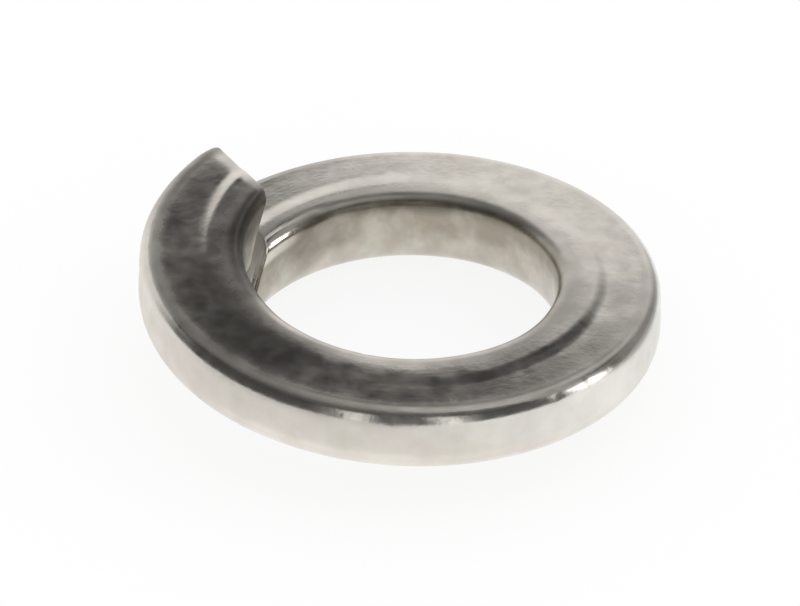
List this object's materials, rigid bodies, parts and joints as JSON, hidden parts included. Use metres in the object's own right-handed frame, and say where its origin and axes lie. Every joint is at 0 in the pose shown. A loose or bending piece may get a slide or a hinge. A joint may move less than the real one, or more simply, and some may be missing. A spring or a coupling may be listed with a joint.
{
  "type": "spring lock washer",
  "caption": "Split helical spring washer: one left-hand turn of rounded rectangular steel wire with a round bore, its cut ends sprung apart to grip under a nut or a screw head.",
  "frame": {"origin": "on the axis of the bore, halfway up the coil", "axes": "+Z along the bore, the way the screw's head or nut lies over the raised end; seen from above, the cut opens at the back left, between +Y and -X"},
  "size_m": [0.0144, 0.0144, 0.0042],
  "materials": {
    "steel": "tumbled, softly worn semi-gloss"
  },
  "bodies": {
    "root": {"split_ring": "steel"}
  },
  "joints": []
}
